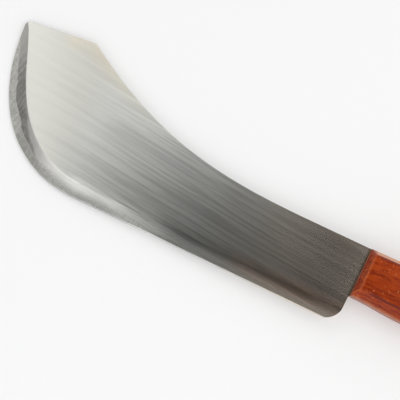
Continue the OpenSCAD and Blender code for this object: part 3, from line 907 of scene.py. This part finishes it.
def is_upright(edge):
    """Whether an edge runs through the thickness more than along the plate."""
    way = edge.verts[1].co - edge.verts[0].co
    return abs(way.z) > UPRIGHT_SHARE * way.length


def shade(made, crease):
    """Shades faces smooth, up to lengthwise edges that turn by more than the crease angle."""
    for f in made.faces:
        f.smooth = True
    for e in made.edges:
        turn = e.calc_face_angle(0)
        e.smooth = turn < (max(crease, UPRIGHT_CREASE) if is_upright(e) else crease)


print("upright edges are smooth up to", round(math.degrees(UPRIGHT_CREASE)), "degrees")

# %% [markdown]
# In a copy, triangles that lie in one plane are dissolved into one face first, which leaves only the
# true edges to pick from. Those are rounded with the bevel operator. A Bevel modifier would do it
# too, but the operator takes the very edges that it is given. At the end a Weighted Normal modifier
# keeps the large flat faces flat beside the new narrow ones.

# %% Joined copies with rounded edges
SAME_PLANE = math.radians(0.02)
ROUND_STEPS = 3


def rounded_copy(node, name, finish, slot, crease, *rounds):
    """Replaces a CAD node with a joined copy. Each round is a test for edges and a radius for them."""
    made = read_mesh(node)
    bmesh.ops.dissolve_limit(made, angle_limit=SAME_PLANE, verts=made.verts, edges=made.edges)
    for wanted, radius in rounds:
        edges = [e for e in made.edges if len(e.link_faces) == 2 and wanted(e)]
        bmesh.ops.bevel(made, geom=edges, offset=radius, offset_type="OFFSET", segments=ROUND_STEPS,
                        profile=0.5, affect="EDGES", material=-1, clamp_overlap=False)
        print(name, "has", len(edges), "edges rounded by", radius / mm, "mm")
    bmesh.ops.triangulate(made, faces=[f for f in made.faces if len(f.verts) > 4])
    shade(made, crease)
    piece = finish_piece(made, name, finish, node)
    weighted = piece.modifiers.new("flat faces stay flat", "WEIGHTED_NORMAL")
    weighted.keep_sharp = True
    return piece


print("faces within", round(math.degrees(SAME_PLANE), 2), "degrees count as one plane")

# %% [markdown]
# Three kinds of edge are rounded: the plate's rim by 0.2 mm, the shoulder of the grind by 0.5 mm,
# and the edges of the wood by 0.3 mm. Each kind is told by where the edge lies and how far its two
# faces turn. Near the tip the grind is too narrow for its shoulder to be rounded.

# %% The blade and the scales
RIM_RADIUS, RIM_TURN = 0.2 * mm, math.radians(60)
SHOULDER_RADIUS, SHOULDER_TURNS = 0.5 * mm, (math.radians(3), math.radians(30))
SHOULDER_ROOM = 2.5 * SHOULDER_RADIUS
WOOD_RADIUS, WOOD_TURN, WOOD_SHORTEST = 0.3 * mm, math.radians(25), 0.5 * mm
STEEL_CREASE = math.radians(3)
WOOD_CREASE = math.radians(30)


def on_side(edge):
    """Whether an edge lies in one of the plate's two sides."""
    return all(abs(abs(v.co.z - PLATE_MIDDLE) - PLATE_HALF) < TINY for v in edge.verts)


def plate_rim(edge):
    """The rim of a side, where it meets the spine, the clip or the tang's outline."""
    return on_side(edge) and edge.calc_face_angle() > RIM_TURN


def shoulder(edge):
    """The line where the bevel leaves a side, as far as the bevel is wide enough to round it."""
    ribs = [e for v in edge.verts for e in v.link_edges if not on_side(e)]
    turn = edge.calc_face_angle()
    roomy = ribs and min(e.calc_length() for e in ribs) > SHOULDER_ROOM
    return on_side(edge) and SHOULDER_TURNS[0] < turn < SHOULDER_TURNS[1] and roomy


def wood_edge(edge):
    """Any edge of a scale that is sharper than its softened ridges."""
    return edge.calc_face_angle() > WOOD_TURN and edge.calc_length() > WOOD_SHORTEST


rounded_copy("blade", "ground_blade", steel, "steel", STEEL_CREASE,
             (plate_rim, RIM_RADIUS), (shoulder, SHOULDER_RADIUS))
for side in ("left", "right"):
    rounded_copy(side + "_scale", side + "_varnished_scale", wood, "wood", WOOD_CREASE,
                 (wood_edge, WOOD_RADIUS))

# %% [markdown]
# ## The rivets and washers
# A rivet is turned, and so is its model: half of its outline is spun round the axis. A cylinder
# with a dome on each end would do too, but an outline keeps all radii in one list. The spin meets
# itself, so its doubles are merged, which also closes the two poles.

# %% Turned pieces
SPIN_STEPS = 48


def turned(outline):
    """A bmesh spun round Z from points given as radius and height."""
    made = bmesh.new()
    verts = [made.verts.new((radius, 0, height)) for radius, height in outline]
    edges = [made.edges.new(ends) for ends in zip(verts, verts[1:])]
    bmesh.ops.spin(made, geom=verts + edges, axis=(0, 0, 1), cent=(0, 0, 0), angle=math.tau,
                   steps=SPIN_STEPS, use_merge=True)
    bmesh.ops.remove_doubles(made, verts=made.verts, dist=TINY)
    bmesh.ops.recalc_face_normals(made, faces=made.faces)
    return made


def put(made, node):
    """Moves a turned piece to the middle of the CAD node that it stands for."""
    low, high = (Vector(corner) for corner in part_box(node))
    bmesh.ops.translate(made, verts=made.verts, vec=(low + high) / 2)


print("pieces are spun in", SPIN_STEPS, "steps")

# %% [markdown]
# A rivet is set with a hammer. Each blow presses whatever stands above a tilted plane down onto that
# plane, which leaves the little flats of a hand-set head. A Bump node could draw them, but modelled
# ones are there in the outline too.

# %% Hammer
BLOWS = 9
BLOW_REACH = (0.1, 0.8)
DENT = 0.05 * mm


def hammer(made, radius, top, rise, blows):
    """Presses flats into the domed head that ends at a height, and into the one at the other end."""
    for end in (1, -1):
        for _ in range(BLOWS):
            share, angle = blows.uniform(*BLOW_REACH), blows.uniform(0, math.tau)
            spot = radius * share * Vector((math.cos(angle), math.sin(angle)))
            level = top - rise + rise * math.sqrt(1 - share ** 2) - DENT
            fall = rise * share / (radius * math.sqrt(1 - share ** 2))
            for v in made.verts:
                ahead = (v.co.xy - spot).dot(spot.normalized())
                if v.co.z * end > top - rise:
                    v.co.z = end * min(v.co.z * end, max(top - rise, level - fall * ahead))


print(BLOWS, "blows on each head")

# %% [markdown]
# The three rivets are alike apart from the blows. Those differ from head to head, but are the same
# each time the script runs, because the random numbers start from a fixed seed.

# %% Rivets
BRASS_CREASE = math.radians(40)
SEED = 7
DOME_STEPS = 10
SHANK_RADIUS = 2.5 * mm
HEAD_RISE = 0.9 * mm

blows = random.Random(SEED)
for position in ("front", "middle", "rear"):
    node = position + "_rivet"
    low, high = (Vector(corner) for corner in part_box(node))
    radius, top = (high.x - low.x) / 2, (high.z - low.z) / 2
    seat = top - HEAD_RISE
    dome = [(radius * math.cos(a), seat + HEAD_RISE * math.sin(a))
            for a in (math.pi / 2 * k / DOME_STEPS for k in range(DOME_STEPS, -1, -1))]
    half = dome + [(SHANK_RADIUS, seat)]
    made = turned(half + [(r, -z) for r, z in reversed(half)])
    hammer(made, radius, top, HEAD_RISE, blows)
    put(made, node)
    shade(made, BRASS_CREASE)
    finish_piece(made, position + "_hammered_rivet", brass, node)

# %% [markdown]
# A washer is turned as well, from a closed outline, so it comes out as a ring. It was stamped from
# sheet, which rounds its rims a little, and the bevel operator does that here.

# %% Washers
BORE_RADIUS = 2.55 * mm
WASHER_ROUND = 0.2 * mm

for position in ("front", "middle", "rear"):
    for side in ("left", "right"):
        node = f"{position}_{side}_washer"
        low, high = (Vector(corner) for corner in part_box(node))
        radius, half = (high.x - low.x) / 2, (high.z - low.z) / 2
        section = [(BORE_RADIUS, half), (radius, half), (radius, -half), (BORE_RADIUS, -half)]
        made = turned(section + section[:1])
        rims = [e for e in made.edges if e.calc_face_angle(0) > RIM_TURN]
        bmesh.ops.bevel(made, geom=rims, offset=WASHER_ROUND, segments=ROUND_STEPS, profile=0.5,
                        affect="EDGES", material=-1, clamp_overlap=False)
        put(made, node)
        shade(made, BRASS_CREASE)
        finish_piece(made, f"{position}_{side}_stamped_washer", brass, node)
